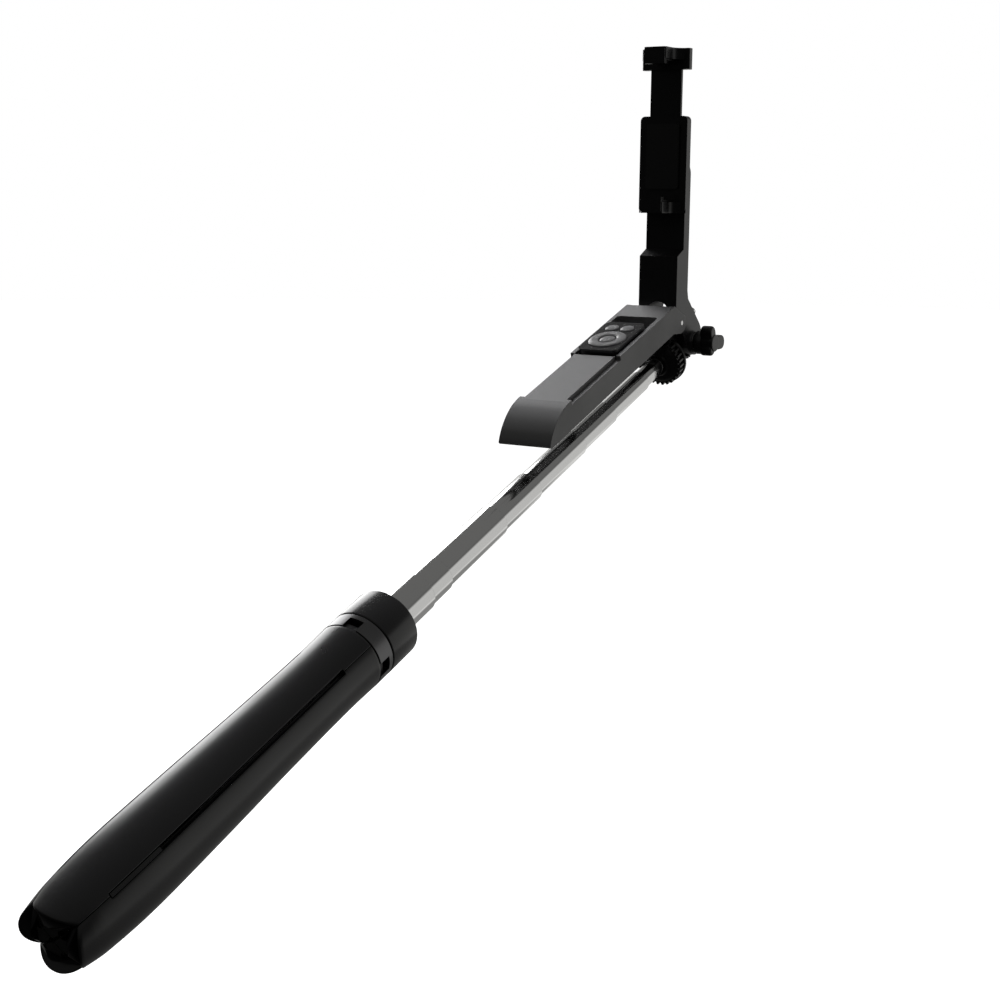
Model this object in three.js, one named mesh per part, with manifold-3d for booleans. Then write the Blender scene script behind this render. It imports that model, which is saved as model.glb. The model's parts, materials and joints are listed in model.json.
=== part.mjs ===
// Telescoping selfie stick: handle of four folding legs, seven sliding tubes, tilting
// fork arm with a sprung phone clamp, and a hinged cover that holds a push-button remote.
// Millimetres. +Z is up, +X is to the user's right, +Y points away from the user.
// The origin is on the stick's axis in the middle of the hand grip.
import * as THREE from 'three';
import { mergeVertices } from 'three/addons/utils/BufferGeometryUtils.js';
import Module from 'manifold-3d';

const wasm = await Module();
wasm.setup();

// ---- driving dimensions -------------------------------------------------
const STICK_RISE = THREE.MathUtils.degToRad(19); // stick axis above the horizontal
const GAP = 0.3; // running clearance
const SEGMENTS = 32; // facets round a turned body

// handle: four folding legs round a guide tube
const GRIP_STATIONS = [
  [-101, 13.7], [-88, 15.5], [-64, 16.8], [-24, 16.4], [16, 15.6], [56, 15.25], [76.3, 15.7],
];
const SHELL_WALL = 2.2;
const SHELL_END = { wall: 3.4, from: -90, notch: 4.6, lip: 1.5, mouth: -94, flat: 7.3 };
const LEG_PIN = { r: 12.6, t: 79.6, radius: 0.8, half: 4.6, eye: 1.5 };
const RING = { t0: 76.6, t1: 85.3, r: 15.75, bore: 9.6 };
const WINDOW = { width: 6.6, top: 82.7, depth: 10.8 };
const COLLAR = { t0: 85.6, t1: 104.6, r: 15.85 };
const LEG_ANGLES = [13, 103, 193, 283];
const LEG_HALF = 45; // degrees from a leg's middle to its seam
const LINER = { r: 12.7, bore: 10.3, t0: -84, t1: 62 };
const TOE = {
  r: 9.6, flat: 6.9, core: 1.2, t0: -99.4, t1: -91.6, round: 1, flange: 11.2, step: -93.2, inset: 1.2,
};
const SLOT = { half: 1.1, t0: -82, t1: 57, strip: -56.5 };

// telescoping tubes
const TUBE_R0 = 9.2;
const TUBE_STEP = 0.6;
const TUBE_WALL = 0.3;
const TUBE_LENGTH = 150;
const GUIDE_BOTTOM = -30;
const TUBE_ENDS = [129.5, 145.2, 195.5, 230.6, 278.8, 314.9, 355, 379.7];

// head and tilt joint
const PIVOT = { t: 404.2, h: 2.6 };
const HUB_MOUTH = 376.2;
const CROWN = { r: 12.9, teeth: 27, depth: 1.3, t0: 378.9, t1: 384.6, flange: 13.4, t2: 387 };
const ROSETTE_R = 9.4;
const BOLT_R = 2.4;

// hinged cover with the remote's tray
const COVER = { half: 14.25, top: 34, bottom: 20, wall: 1.4, nose: 233, noseTop: 256.5, end: 378.6 };
const COVER_PIN = { t: 385, h: 22, radius: 1.25 };
const TRAY = { half: 11.9, t0: 311, t1: 362.6, floor: 27 };
const RAIL = { t0: 258.6, t1: 312, inset: 2.8, drop: 2.2 };
const REMOTE = { half: 11.2, t0: 313.4, t1: 349.6, bottom: 27.3, top: 36 };

// phone clamp: origin of these is the middle of a phone's screen
const PHONE = { y: 348.63, z: 246.82, thick: 7.4, half: 35.75 };
const CLAMP = { half: 13.7, y0: 8.9, y1: 13.6, low: -42.6, housingTop: 8, pivotZ: -22 };
const JAW = { half: 6.5, front: -5, hook: -1.6, lip: 1.6, thick: 6.4 };
const ARM = { half: 11.2, y0: 14, y1: 20.5, boxY: 6.5, slot: 7, arch: -96.6 };

// ---- frames ----------------------------------------------------------------
const ALONG = new THREE.Vector3(0, Math.cos(STICK_RISE), Math.sin(STICK_RISE));
const ABOVE = new THREE.Vector3(0, -Math.sin(STICK_RISE), Math.cos(STICK_RISE));
const RIGHT = new THREE.Vector3(1, 0, 0);
const BACK = new THREE.Vector3(0, 1, 0);
const UP = new THREE.Vector3(0, 0, 1);

function basis(x, y, z) {
  return new THREE.Matrix4().makeBasis(x, y, z);
}

const SIDE = basis(ALONG, ABOVE, RIGHT); // outline in (t, h), depth along X
const PLAN = basis(RIGHT, ALONG, ABOVE); // outline in (X, t), depth along h
const CROSS = basis(ABOVE, RIGHT, ALONG); // outline in (h, X), depth along t
const TURNED = basis(ABOVE, ALONG, RIGHT.clone().negate()); // lathe axis along t
const CLAMP_ORIGIN = new THREE.Vector3(0, PHONE.y, PHONE.z);
const UPRIGHT = basis(BACK, UP, RIGHT).setPosition(CLAMP_ORIGIN); // outline in (Y, Z)
const LEVEL = basis(RIGHT, BACK, UP).setPosition(CLAMP_ORIGIN); // outline in (X, Y)
const FACING = basis(UP, RIGHT, BACK).setPosition(CLAMP_ORIGIN); // outline in (Z, X)

// ---- solids ----------------------------------------------------------------
function solidOf(geometry) {
  const bare = new THREE.BufferGeometry();
  bare.setAttribute('position', geometry.getAttribute('position').clone());
  if (geometry.index) {
    bare.setIndex(geometry.index.clone());
  }
  const welded = mergeVertices(bare, 1e-4);
  const points = welded.getAttribute('position').array;
  const faces = welded.index.array;
  const kept = [];
  let volume = 0;
  const a = new THREE.Vector3();
  const b = new THREE.Vector3();
  const c = new THREE.Vector3();
  for (let i = 0; i < faces.length; i += 3) {
    const [p, q, r] = [faces[i], faces[i + 1], faces[i + 2]];
    if (p !== q && q !== r && p !== r) {
      kept.push(p, q, r);
      a.fromArray(points, 3 * p);
      b.fromArray(points, 3 * q);
      c.fromArray(points, 3 * r);
      volume += a.dot(b.cross(c));
    }
  }
  if (volume < 0) {
    for (let i = 0; i < kept.length; i += 3) {
      [kept[i + 1], kept[i + 2]] = [kept[i + 2], kept[i + 1]];
    }
  }
  const mesh = new wasm.Mesh({
    numProp: 3,
    vertProperties: new Float32Array(points),
    triVerts: new Uint32Array(kept),
  });
  return new wasm.Manifold(mesh);
}

function prism(frame, outline, from, to, chamfer = 0) {
  const shape = new THREE.Shape(outline.map(([x, y]) => new THREE.Vector2(x, y)));
  const geometry = new THREE.ExtrudeGeometry(shape, {
    depth: to - from - 2 * chamfer,
    bevelEnabled: chamfer > 0,
    bevelThickness: chamfer,
    bevelSize: chamfer,
    bevelOffset: -chamfer,
    bevelSegments: 1,
  });
  geometry.translate(0, 0, from + chamfer);
  geometry.applyMatrix4(frame);
  return solidOf(geometry);
}

function turned(profile, segments = SEGMENTS) {
  const loop = [...profile, profile[0]].map(([r, t]) => new THREE.Vector2(r, t));
  const geometry = new THREE.LatheGeometry(loop, segments);
  geometry.applyMatrix4(TURNED);
  return solidOf(geometry);
}

function round(cx, cy, r, n = 28) {
  const points = [];
  for (let i = 0; i < n; i += 1) {
    const a = (2 * Math.PI * (i + 0.5)) / n;
    points.push([cx + r * Math.cos(a), cy + r * Math.sin(a)]);
  }
  return points;
}

function rounded(x0, x1, y0, y1, r, n = 4) {
  const points = [];
  const corners = [[x1 - r, y1 - r, 0], [x0 + r, y1 - r, 90], [x0 + r, y0 + r, 180], [x1 - r, y0 + r, 270]];
  for (const [cx, cy, start] of corners) {
    for (let i = 0; i <= n; i += 1) {
      const a = THREE.MathUtils.degToRad(start + (90 * i) / n);
      points.push([cx + r * Math.cos(a), cy + r * Math.sin(a)]);
    }
  }
  return points;
}

function toothed(cx, cy, r, teeth, depth) {
  const points = [];
  for (let i = 0; i < teeth; i += 1) {
    for (const [share, inset] of [[0, 0], [0.5, 0], [0.75, depth]]) {
      const a = (2 * Math.PI * (i + share)) / teeth;
      points.push([cx + (r - inset) * Math.cos(a), cy + (r - inset) * Math.sin(a)]);
    }
  }
  return points;
}

function arc(cx, cy, r, from, to, n) {
  const points = [];
  for (let i = 0; i <= n; i += 1) {
    const a = THREE.MathUtils.degToRad(from + ((to - from) * i) / n);
    points.push([cx + r * Math.cos(a), cy + r * Math.sin(a)]);
  }
  return points;
}

function box(frame, x0, x1, y0, y1, z0, z1, chamfer = 0) {
  return prism(frame, [[x0, y0], [x1, y0], [x1, y1], [x0, y1]], z0, z1, chamfer);
}

function union(first, ...others) {
  return others.reduce((sum, next) => sum.add(next), first);
}

function cut(first, ...others) {
  return others.reduce((rest, next) => rest.subtract(next), first);
}

// ---- materials and nodes -----------------------------------------------------
const group = new THREE.Group();
group.name = 'selfie_stick';

function finish(name, colour, roughness, metalness) {
  const material = new THREE.MeshStandardMaterial({ color: colour, roughness, metalness });
  material.name = name;
  return material;
}

const SATIN = finish('satin_black_abs', 0x17181a, 0.45, 0);
const GLOSS = finish('gloss_black_abs', 0x101113, 0.2, 0);
const COVER_GREY = finish('dark_grey_abs', 0x3a3b3e, 0.4, 0);
const RUBBER = finish('black_rubber', 0x151515, 0.85, 0);
const STEEL = finish('polished_steel', 0xc9cbcc, 0.15, 1);
const ALLOY = finish('grey_alloy', 0x55575a, 0.35, 1);
const BUTTON = finish('button_rubber', 0x26272a, 0.5, 0);
const ACETAL = finish('natural_acetal', 0xd8d6cc, 0.5, 0);
const BOARD = finish('green_laminate', 0x1d4a2c, 0.6, 0);

function add(name, solid, material) {
  const mesh = solid.getMesh();
  const geometry = new THREE.BufferGeometry();
  geometry.setAttribute('position', new THREE.BufferAttribute(Float32Array.from(mesh.vertProperties), 3));
  geometry.setIndex(Array.from(mesh.triVerts));
  const flat = geometry.toNonIndexed();
  flat.computeVertexNormals();
  const node = new THREE.Mesh(flat, material);
  node.name = name;
  group.add(node);
}

// ---- handle -------------------------------------------------------------------
function radialFrame(degrees) {
  const a = THREE.MathUtils.degToRad(degrees);
  const outward = ABOVE.clone().multiplyScalar(Math.cos(a)).addScaledVector(RIGHT, Math.sin(a));
  const across = RIGHT.clone().multiplyScalar(Math.cos(a)).addScaledVector(ABOVE, -Math.sin(a));
  return { face: basis(across, ALONG, outward), edge: basis(ALONG, outward, across) };
}

function sector(degrees, half, clearance, t0, t1) {
  const a = THREE.MathUtils.degToRad(degrees);
  const h = THREE.MathUtils.degToRad(half);
  const apex = clearance / 2 / Math.sin(h);
  const reach = 40;
  const outline = [[apex, 0]];
  for (let i = -3; i <= 3; i += 1) {
    outline.push([apex + reach * Math.cos((h * i) / 3), reach * Math.sin((h * i) / 3)]);
  }
  const turnedOutline = outline.map(([x, y]) => [
    x * Math.cos(a) - y * Math.sin(a),
    x * Math.sin(a) + y * Math.cos(a),
  ]);
  return prism(CROSS, turnedOutline, t0, t1);
}

function gripProfile(inset, stations = 9) {
  const curve = new THREE.SplineCurve(GRIP_STATIONS.map(([t, r]) => new THREE.Vector2(t, r)));
  return curve.getPoints(stations).map((p) => [p.y - inset, p.x]);
}

const GRIP_END = GRIP_STATIONS[0];
const GRIP_TOP = GRIP_STATIONS[GRIP_STATIONS.length - 1];
const LIP_T = GRIP_TOP[0] - SHELL_END.lip;
const shellRing = turned([
  ...gripProfile(0),
  [GRIP_TOP[1] - SHELL_WALL, LIP_T],
  ...gripProfile(SHELL_WALL).reverse().filter(([, t]) => t > SHELL_END.from + 1 && t < LIP_T - 1),
  [GRIP_STATIONS[1][1] - SHELL_END.wall, SHELL_END.from],
  [GRIP_STATIONS[1][1] - SHELL_END.wall, SHELL_END.mouth + 0.4],
  [SHELL_END.flat + 0.7, SHELL_END.mouth],
  [SHELL_END.flat + 0.7, GRIP_END[0]],
], 48);
const linerRing = turned([
  [LINER.bore, LINER.t0], [LINER.r, LINER.t0], [LINER.r, LINER.t1], [LINER.bore, LINER.t1],
], 48);
const toeRing = turned([
  [TOE.core, TOE.t1], [TOE.core, TOE.t0], [TOE.r - TOE.round, TOE.t0],
  [TOE.r - TOE.round * 0.3, TOE.t0 + TOE.round * 0.3], [TOE.r, TOE.t0 + TOE.round],
  [TOE.r, TOE.step], [TOE.flange, TOE.step], [TOE.flange, TOE.t1],
], 48);

// the narrow slot along one seam, half of it in each of the two shells
function slotCut(degrees, t0, t1) {
  const outline = [[-SLOT.half, t0], [SLOT.half, t0], [SLOT.half, t1], [-SLOT.half, t1]];
  return prism(radialFrame(degrees).face, outline, LINER.r + 0.1, 20);
}

// what the rounded end leaves away: deepest at both seams
function endBay(degrees, inset) {
  const steps = 10;
  const reach = GRIP_END[1] * Math.sin(THREE.MathUtils.degToRad(LEG_HALF));
  const outline = [];
  for (let i = -steps; i <= steps; i += 1) {
    const rise = SHELL_END.notch * Math.abs(i / steps) ** 2.2;
    outline.push([(reach * i) / steps, GRIP_END[0] + inset + rise]);
  }
  outline.push([20, -92], [20, -110], [-20, -110], [-20, -92]);
  return prism(radialFrame(degrees).face, outline, 0, 20);
}

LEG_ANGLES.forEach((angle, i) => {
  const { face, edge } = radialFrame(angle);
  const label = `leg_${i + 1}`;
  const tongueHalf = WINDOW.width / 2 - GAP;
  const eye = prism(edge, round(LEG_PIN.t, LEG_PIN.r, LEG_PIN.eye, 20), -tongueHalf, tongueHalf);
  const tongue = box(edge, 66, LEG_PIN.t, LEG_PIN.r - 1.4, LEG_PIN.r + 1.4, -tongueHalf, tongueHalf);
  const pinHole = prism(edge, round(LEG_PIN.t, LEG_PIN.r, LEG_PIN.radius + 0.15, 16), -9, 9);
  const shell = shellRing.intersect(sector(angle, LEG_HALF, 0.5, -110, 90));
  const mouth = box(face, -20, 20, GRIP_END[0] - 1, SHELL_END.mouth + 0.2, 0, SHELL_END.flat);
  add(`${label}_shell`, cut(
    union(shell, tongue, eye),
    slotCut(angle - LEG_HALF, SLOT.t0, SLOT.t1),
    slotCut(angle + LEG_HALF, SLOT.t0, SLOT.t1),
    endBay(angle, 0),
    mouth,
    pinHole,
  ), SATIN);
  const strip = prism(radialFrame(angle - LEG_HALF).face, [
    [GAP, SLOT.t0 + GAP], [SLOT.half - GAP, SLOT.t0 + GAP], [SLOT.half - GAP, SLOT.strip], [GAP, SLOT.strip],
  ], LINER.r - 1, GRIP_STATIONS[1][1] - 0.3);
  const liner = linerRing.intersect(sector(angle, LEG_HALF, 0.5, -90, 80));
  add(`${label}_liner`, union(liner, strip), SATIN);
  const toe = toeRing.intersect(sector(angle, LEG_HALF, 0.6, -106, -90));
  const beyond = box(face, -20, 20, -106, TOE.step, TOE.flat, 20);
  add(`${label}_foot`, cut(toe, endBay(angle, TOE.inset), beyond), RUBBER);
  const pin = prism(edge, round(LEG_PIN.t, LEG_PIN.r, LEG_PIN.radius, 16), -LEG_PIN.half, LEG_PIN.half);
  add(`${label}_pin`, pin, STEEL);
});

let ring = turned([
  [RING.bore, RING.t0], [RING.r - 0.3, RING.t0], [RING.r, RING.t0 + 0.4],
  [RING.r, RING.t1 - 0.4], [RING.r - 0.3, RING.t1], [RING.bore, RING.t1],
], 48);
for (const angle of LEG_ANGLES) {
  const { face, edge } = radialFrame(angle);
  const half = WINDOW.width / 2;
  ring = ring.subtract(box(face, -half, half, RING.t0 - 1, WINDOW.top, WINDOW.depth, 20));
  ring = ring.subtract(prism(edge, round(LEG_PIN.t, LEG_PIN.r, LEG_PIN.radius + 0.1, 16), -5, 5));
}
add('hinge_ring', ring, ALLOY);

add('collar_sleeve', turned([
  [RING.bore, COLLAR.t0], [COLLAR.r - 0.3, COLLAR.t0], [COLLAR.r, COLLAR.t0 + 0.5],
  [COLLAR.r, COLLAR.t1 - 1.6], [COLLAR.r - 0.5, COLLAR.t1 - 0.5], [COLLAR.r - 1.4, COLLAR.t1],
  [RING.bore, COLLAR.t1],
], 48), GLOSS);

// ---- telescoping tubes ----------------------------------------------------------
function tubeRadius(i) {
  return TUBE_R0 - TUBE_STEP * i;
}

function tube(r, from, to) {
  return turned([
    [r - TUBE_WALL, from], [r, from], [r, to - 0.4],
    [r - 0.15, to], [r - TUBE_WALL, to],
  ]);
}

add('guide_tube', tube(TUBE_R0, GUIDE_BOTTOM, TUBE_ENDS[0]), STEEL);
add('guide_plug', turned([
  [0, GUIDE_BOTTOM - 3.3], [TUBE_R0, GUIDE_BOTTOM - 3.3], [TUBE_R0, GUIDE_BOTTOM - GAP],
  [TUBE_R0 - 0.6, GUIDE_BOTTOM - GAP], [TUBE_R0 - 0.6, GUIDE_BOTTOM + 4], [TUBE_R0 - 2, GUIDE_BOTTOM + 4],
  [TUBE_R0 - 2, GUIDE_BOTTOM - GAP], [0, GUIDE_BOTTOM - GAP],
], 32), SATIN);
for (let i = 1; i < TUBE_ENDS.length; i += 1) {
  const r = tubeRadius(i);
  const bottom = TUBE_ENDS[i] - TUBE_LENGTH;
  add(`tube_${i}`, tube(r, bottom, TUBE_ENDS[i]), STEEL);
  add(`glide_${i}`, turned([
    [r - TUBE_WALL, bottom - 5.3], [r + 0.1, bottom - 5.3],
    [r + 0.1, bottom - GAP], [r - TUBE_WALL, bottom - GAP],
  ], 24), ACETAL);
}

// ---- head hub ----------------------------------------------------------------------
const hubSocket = turned([
  [0, HUB_MOUTH], [5.9, HUB_MOUTH], [6.6, HUB_MOUTH + 0.7], [6.7, 396], [0, 396],
]);
const crownFace = turned([
  [0, HUB_MOUTH + 0.6], [6.4, HUB_MOUTH + 0.6], [CROWN.r - 2.4, CROWN.t0],
  [CROWN.r - CROWN.depth, CROWN.t0 + 0.8], [CROWN.r - CROWN.depth, CROWN.t1], [0, CROWN.t1],
], 54);
const crownTeeth = prism(
  CROSS, toothed(0, 0, CROWN.r, CROWN.teeth, CROWN.depth), CROWN.t0 + 0.4, CROWN.t1,
);
const crownFlange = turned([
  [0, CROWN.t1 - 0.4], [CROWN.flange - 0.4, CROWN.t1 - 0.4], [CROWN.flange, CROWN.t1],
  [CROWN.flange, CROWN.t2 - 0.6], [CROWN.flange - 0.6, CROWN.t2], [0, CROWN.t2],
], 54);
const hubBoss = prism(SIDE, round(PIVOT.t, PIVOT.h, ROSETTE_R - 1.2, 40), -6.7, 6.7);
const rosette = prism(SIDE, toothed(PIVOT.t, PIVOT.h, ROSETTE_R, 24, 1), 3.2, 6.7);
const pinLug = prism(SIDE, [
  ...arc(COVER_PIN.t, COVER_PIN.h, 3.2, 10, 190, 10), [381.4, 4], [396, 4],
], -6.6, 6.6);
const tubeBore = turned([[0, HUB_MOUTH - 1], [5.15, HUB_MOUTH - 1], [5.15, 380], [0, 380]]);
const hub = cut(
  union(hubSocket, crownFace, crownTeeth, crownFlange, hubBoss, rosette, pinLug),
  tubeBore,
  prism(SIDE, round(PIVOT.t, PIVOT.h, BOLT_R + GAP), -8, 8),
  prism(SIDE, round(COVER_PIN.t, COVER_PIN.h, COVER_PIN.radius + 0.1, 20), -8, 8),
);
add('head_hub', hub, SATIN);
add('cover_pin', prism(
  SIDE, round(COVER_PIN.t, COVER_PIN.h, COVER_PIN.radius, 20), -COVER.half + 0.1, COVER.half - 0.1,
), STEEL);

// ---- tilt bolt, washer and lever knob ------------------------------------------------
const boltHead = prism(SIDE, round(PIVOT.t, PIVOT.h, 5, 6), -14.6, -ARM.half - GAP, 0.4);
const boltShank = prism(SIDE, round(PIVOT.t, PIVOT.h, BOLT_R, 24), -12, 16.5);
add('tilt_bolt', union(boltHead, boltShank), STEEL);
add('tilt_washer', cut(
  prism(SIDE, round(PIVOT.t, PIVOT.h, 5.8, 32), ARM.half + 0.2, ARM.half + 0.8),
  prism(SIDE, round(PIVOT.t, PIVOT.h, BOLT_R + 0.2, 24), 10, 13),
), STEEL);

const PIVOT_Y = PIVOT.t * ALONG.y + PIVOT.h * ABOVE.y - PHONE.y;
const PIVOT_Z = PIVOT.t * ALONG.z + PIVOT.h * ABOVE.z - PHONE.z;

function lobe(degrees, reach, tip, root) {
  const a = THREE.MathUtils.degToRad(degrees);
  const outline = [...arc(0, 0, root, 120, 240, 6), ...arc(reach - tip, 0, tip, -70, 70, 8)];
  const placed = outline.map(([x, y]) => [
    PIVOT_Y + x * Math.cos(a) - y * Math.sin(a),
    PIVOT_Z + x * Math.sin(a) + y * Math.cos(a),
  ]);
  return prism(UPRIGHT, placed, 16, 22.8, 0.9);
}

const knob = union(
  prism(UPRIGHT, round(PIVOT_Y, PIVOT_Z, 6.4, 32), 12.3, 15.2, 0.5),
  prism(UPRIGHT, round(PIVOT_Y, PIVOT_Z, 4.8, 32), 14.5, 23.4, 0.6),
  lobe(0, 14.4, 3.8, 4.4),
  lobe(108, 9.8, 3.2, 3.6),
  lobe(-118, 7.4, 2.9, 3.6),
);
add('lever_knob', cut(knob, prism(UPRIGHT, round(PIVOT_Y, PIVOT_Z, BOLT_R + 0.15, 24), 12, 17)), SATIN);

// ---- fork arm ---------------------------------------------------------------------------
const earOutline = [
  [ARM.boxY, -90], [ARM.boxY, -96], [12.5, -103], [22, -115.2], [27, -118.6], [33.5, -119.6],
  [38.6, -117], [40.6, -111.6], [39, -104.6], [34, -99.5], [ARM.y1, -86.5], [ARM.y1, -80], [ARM.boxY, -80],
];
const armLower = union(
  prism(UPRIGHT, [...earOutline].reverse(), -ARM.half, ARM.half, 0.8),
  prism(UPRIGHT, [
    [ARM.boxY, -90], [ARM.y1, -90], [ARM.y1, -61.8], [ARM.y0, -61.8], [ARM.boxY, -65.5],
  ], -ARM.half, ARM.half, 0.8),
);
const armUpper = prism(FACING, [
  ...arc(CLAMP.pivotZ, 0, ARM.half, -90, 90, 14), [-70, ARM.half], [-70, -ARM.half],
], ARM.y0, ARM.y1, 0.8);
const archSlot = prism(
  FACING, [...arc(ARM.arch, 0, ARM.slot, -90, 90, 10), [-130, ARM.slot], [-130, -ARM.slot]], 0, 50,
);
add('fork_arm', cut(
  union(armLower, armUpper),
  archSlot,
  prism(UPRIGHT, round(PIVOT_Y, PIVOT_Z, BOLT_R + GAP, 24), -15, 15),
  prism(FACING, round(CLAMP.pivotZ, 0, 4.3, 24), 10, 25),
), SATIN);

const slope = new THREE.Vector3(0, 0.68, 0.733).normalize();
const slopeFrame = basis(RIGHT, slope.clone().cross(RIGHT), slope);
slopeFrame.setPosition(8.2, PHONE.y + 31.2, PHONE.z - 97);
add('ear_screw', union(
  prism(slopeFrame, round(0, 0, 2.6, 20), 0.4, 2.9, 0.6),
), STEEL);

// ---- phone clamp ---------------------------------------------------------------------------
function jawOutline(back) {
  // plan of a jaw: narrow tongue in front, flaring by a concave sweep to the full width
  const sweep = CLAMP.half - JAW.half;
  const right = [
    ...arc(JAW.half - 2, JAW.front + 2, 2, -90, 0, 4),
    ...arc(CLAMP.half, CLAMP.y0 - sweep + 0.6, sweep, 180, 95, 6),
    [CLAMP.half, CLAMP.y0 + 0.6],
    [CLAMP.half, back],
  ];
  return [...right, ...right.map(([x, y]) => [-x, y]).reverse()];
}

const floorZ = -PHONE.half - 1.1;
function hook(from, to) {
  const half = JAW.half - 0.6;
  return box(LEVEL, -half, half, JAW.front + 0.2, JAW.hook, from, to);
}
const housing = union(
  prism(FACING, rounded(CLAMP.low, CLAMP.housingTop, -CLAMP.half, CLAMP.half, 2.5), CLAMP.y0, CLAMP.y1, 0.5),
  prism(LEVEL, jawOutline(CLAMP.y1 - 1), CLAMP.low, floorZ, 0.5),
  hook(CLAMP.low + 1, -PHONE.half + JAW.lip),
  prism(FACING, round(CLAMP.pivotZ, 0, 4, 24), CLAMP.y1 - 0.6, 18.9),
);
add('clamp_housing', cut(
  housing,
  box(LEVEL, -9.2, 9.2, 10.1, 12.4, -30, CLAMP.housingTop + 1),
), SATIN);

const topZ = PHONE.half + 1.1;
add('jaw_slider', union(
  box(LEVEL, -8.9, 8.9, 10.4, 12.1, -16, topZ - 2),
  prism(LEVEL, rounded(-CLAMP.half, CLAMP.half, CLAMP.y0, CLAMP.y1, 1.2), topZ - 5, topZ + 5.8, 0.5),
  prism(LEVEL, jawOutline(CLAMP.y1 - 1), topZ, topZ + 5.8, 0.5),
  hook(PHONE.half - JAW.lip, topZ + 4.8),
), SATIN);

function pad(name, solid) {
  add(name, solid, RUBBER);
}

pad('lower_jaw_pad', box(LEVEL, -5.6, 5.6, JAW.hook + GAP, 7.2, floorZ + 0.2, floorZ + 1));
pad('upper_jaw_pad', box(LEVEL, -5.6, 5.6, JAW.hook + GAP, 7.2, topZ - 1, topZ - 0.2));
pad('back_pad', prism(FACING, rounded(-30, 4, -9.5, 9.5, 1.5), PHONE.thick + 0.3, CLAMP.y0 - 0.2));

add('swivel_cap', cut(
  prism(FACING, round(CLAMP.pivotZ, 0, 6.4, 32), ARM.y1 + GAP, ARM.y1 + 2, 0.4),
  box(FACING, CLAMP.pivotZ - 4, CLAMP.pivotZ + 4, -0.6, 0.6, ARM.y1 + 1.3, ARM.y1 + 3),
), STEEL);

function coil(x, y, z0, z1, radius, wire, turns) {
  const around = 4;
  const perTurn = 8;
  const steps = turns * perTurn;
  const positions = [];
  const index = [];
  for (let i = 0; i <= steps; i += 1) {
    const a = (2 * Math.PI * i) / perTurn;
    const z = z0 + wire + ((z1 - z0 - 2 * wire) * i) / steps;
    for (let j = 0; j < around; j += 1) {
      const b = (2 * Math.PI * j) / around;
      const r = radius + wire * Math.cos(b);
      positions.push(x + r * Math.cos(a), y + r * Math.sin(a), z + wire * Math.sin(b));
    }
  }
  for (let i = 0; i < steps; i += 1) {
    for (let j = 0; j < around; j += 1) {
      const p = i * around + j;
      const q = i * around + ((j + 1) % around);
      index.push(p, p + around, q, q, p + around, q + around);
    }
  }
  for (let j = 1; j < around - 1; j += 1) {
    const last = steps * around;
    index.push(0, j, j + 1, last, last + j + 1, last + j);
  }
  const geometry = new THREE.BufferGeometry();
  geometry.setAttribute('position', new THREE.Float32BufferAttribute(positions, 3));
  geometry.setIndex(index);
  geometry.applyMatrix4(new THREE.Matrix4().setPosition(CLAMP_ORIGIN));
  return solidOf(geometry);
}

add('clamp_spring_1', coil(-5, 11.25, -29.6, -16.3, 0.7, 0.22, 7), STEEL);
add('clamp_spring_2', coil(5, 11.25, -29.6, -16.3, 0.7, 0.22, 7), STEEL);

// ---- hinged cover -----------------------------------------------------------------------------
const coverOutline = [
  [COVER.nose, COVER.bottom + 1.5], [COVER.nose + 1.5, COVER.bottom], [374, COVER.bottom],
  [377.5, 18.6], [382, 17], ...arc(COVER_PIN.t, COVER_PIN.h, 5, -90, 30, 6),
  [COVER.end, COVER.top], [COVER.noseTop, COVER.top], [247, 32], [240, 28.6], [235.4, 24.6],
];
const coverInner = [
  [COVER.nose + 5, 10], [400, 10], [400, 24], [COVER.end - 1.6, COVER.top - COVER.wall - 0.2],
  [COVER.noseTop + 1, COVER.top - COVER.wall - 0.2], [248, 30.2], [241.5, 26.6], [238, 22],
];
const inner = COVER.half - COVER.wall;
const trayWalls = box(
  PLAN, -inner - 0.3, inner + 0.3, TRAY.t0 - 1.4, TRAY.t1 + 1.4, TRAY.floor - 1.4, COVER.top - 0.5,
);
function rail(side) {
  const x0 = side * (COVER.half + 1);
  const x1 = side * (COVER.half - RAIL.inset);
  return box(
    PLAN, Math.min(x0, x1), Math.max(x0, x1), RAIL.t0, RAIL.t1, COVER.top - RAIL.drop, COVER.top + 1,
  );
}
const cavity = prism(SIDE, coverInner, -inner, inner);
const shellBody = union(
  cut(prism(SIDE, coverOutline, -COVER.half, COVER.half, 0.7), cavity),
  trayWalls,
  box(PLAN, -inner - 0.3, inner + 0.3, RAIL.t0 + 4, RAIL.t1 - 2, COVER.top - 5, COVER.top - 1),
);
add('cover_shell', cut(
  shellBody,
  prism(PLAN, rounded(-TRAY.half, TRAY.half, TRAY.t0, TRAY.t1, 2), TRAY.floor, COVER.top + 2),
  rail(1),
  rail(-1),
  prism(SIDE, round(COVER_PIN.t, COVER_PIN.h, COVER_PIN.radius + 0.15, 20), -16, 16),
  box(PLAN, -ARM.half - 0.6, ARM.half + 0.6, COVER.end - 0.4, 400, 10, 40),
), COVER_GREY);

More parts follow.
